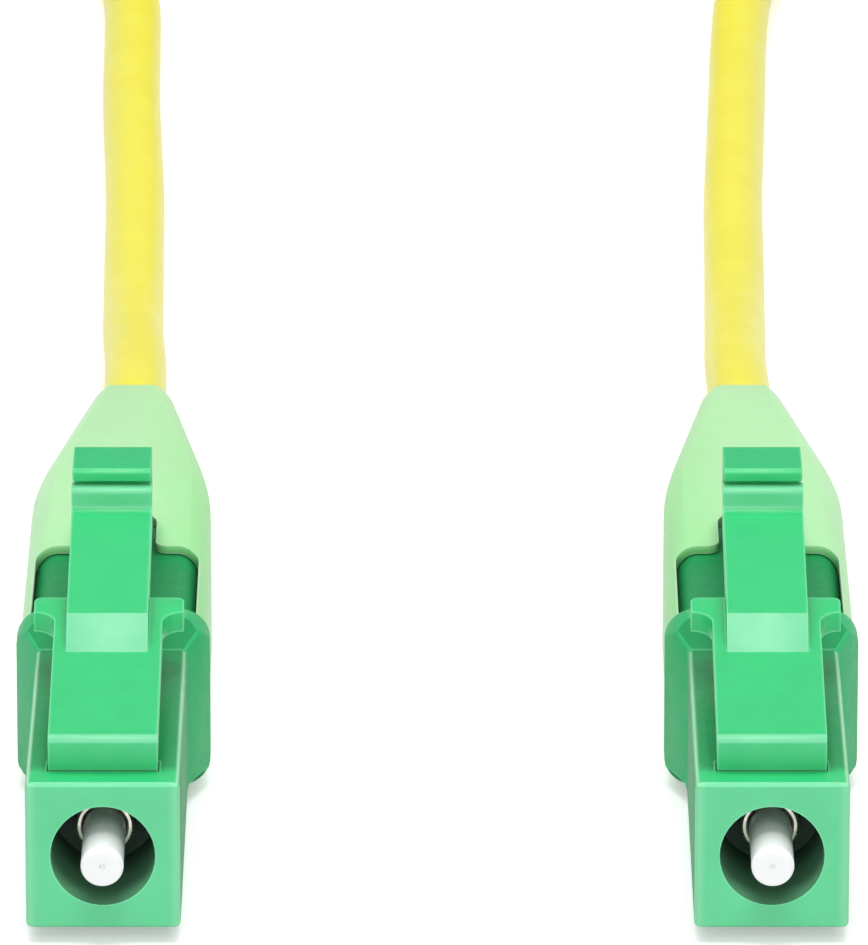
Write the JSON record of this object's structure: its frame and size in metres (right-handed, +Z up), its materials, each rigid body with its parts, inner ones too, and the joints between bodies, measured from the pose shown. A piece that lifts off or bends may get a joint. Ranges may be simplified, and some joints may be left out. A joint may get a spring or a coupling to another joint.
{
  "type": "fiber optic patch cord",
  "caption": "Simplex single-mode fiber optic patch cord with a green angled-polish small form factor plug and boot on each end of a thin yellow cable.",
  "frame": {"origin": "on the table, half-way between the axes of the two plugs and half-way along them, from ferrule tip to boot end", "axes": "+X from plug a to plug b, -Y out of the plugs' front faces, +Z up, away from the table and towards the latches"},
  "size_m": [0.0322, 0.1342, 0.0101],
  "materials": {
    "green_plastic": "smooth moulded plastic",
    "boot_rubber": "soft matte elastomer",
    "yellow_jacket": "satin PVC jacket",
    "ceramic": "polished zirconia",
    "nickel_metal": "turned and nickel plated",
    "steel_wire": "drawn wire",
    "white_plastic": "matte",
    "yarn": "fibrous",
    "glass": "clear silica"
  },
  "bodies": {
    "cord": {"a_front_housing": "green_plastic", "a_rear_housing": "green_plastic", "a_ferrule_spring": "steel_wire", "a_buffered_fibre": "white_plastic", "a_backpost": "nickel_metal", "a_crimp_sleeve": "nickel_metal", "a_aramid_yarn": "yarn", "a_boot": "boot_rubber", "a_cable_jacket": "yellow_jacket", "b_front_housing": "green_plastic", "b_rear_housing": "green_plastic", "b_ferrule_spring": "steel_wire", "b_buffered_fibre": "white_plastic", "b_backpost": "nickel_metal", "b_crimp_sleeve": "nickel_metal", "b_aramid_yarn": "yarn", "b_boot": "boot_rubber", "b_cable_jacket": "yellow_jacket", "cable_run_a": "yellow_jacket", "cable_coil": "yellow_jacket", "cable_run_b": "yellow_jacket"},
    "a_latch_body": {"a_latch": "green_plastic"},
    "a_trigger_body": {"a_trigger": "green_plastic"},
    "a_ferrule_assembly_body": {"a_ferrule": "ceramic", "a_ferrule_flange": "nickel_metal", "a_guide_tube": "white_plastic", "a_glass_fibre": "glass"},
    "b_latch_body": {"b_latch": "green_plastic"},
    "b_trigger_body": {"b_trigger": "green_plastic"},
    "b_ferrule_assembly_body": {"b_ferrule": "ceramic", "b_ferrule_flange": "nickel_metal", "b_guide_tube": "white_plastic", "b_glass_fibre": "glass"}
  },
  "joints": [
    {"name": "a_trigger_press", "type": "hinge", "parent": "cord", "child": "a_trigger_body", "pos_m": [-0.00972, 0.00213, 0.00528], "axis": [1, 0, 0], "range_deg": [0, 7.5], "stiffness_Nm_per_rad": 0.005},
    {"name": "a_latch_flex", "type": "hinge", "parent": "cord", "child": "a_latch_body", "pos_m": [-0.00972, -0.01743, 0.00507], "axis": [1, 0, 0], "range_deg": [-5, 0], "stiffness_Nm_per_rad": 0.000001, "springref_deg": 130.63},
    {"name": "a_ferrule_float", "type": "slide", "parent": "cord", "child": "a_ferrule_assembly_body", "axis": [0, 1, 0], "range_m": [0, 0.0006], "stiffness_N_per_m": 2000, "deforming": ["a_ferrule_spring"]},
    {"name": "b_trigger_press", "type": "hinge", "parent": "cord", "child": "b_trigger_body", "pos_m": [0.00972, 0.00213, 0.00528], "axis": [1, 0, 0], "range_deg": [0, 7.5], "stiffness_Nm_per_rad": 0.005},
    {"name": "b_latch_flex", "type": "hinge", "parent": "cord", "child": "b_latch_body", "pos_m": [0.00972, -0.01743, 0.00507], "axis": [1, 0, 0], "range_deg": [-5, 0], "stiffness_Nm_per_rad": 0.000001, "springref_deg": 130.63},
    {"name": "b_ferrule_float", "type": "slide", "parent": "cord", "child": "b_ferrule_assembly_body", "axis": [0, 1, 0], "range_m": [0, 0.0006], "stiffness_N_per_m": 2000, "deforming": ["b_ferrule_spring"]}
  ],
  "couplings": [
    {"joint": "a_latch_flex", "follows": "a_trigger_press", "ratio": -0.65},
    {"joint": "b_latch_flex", "follows": "b_trigger_press", "ratio": -0.65}
  ]
}
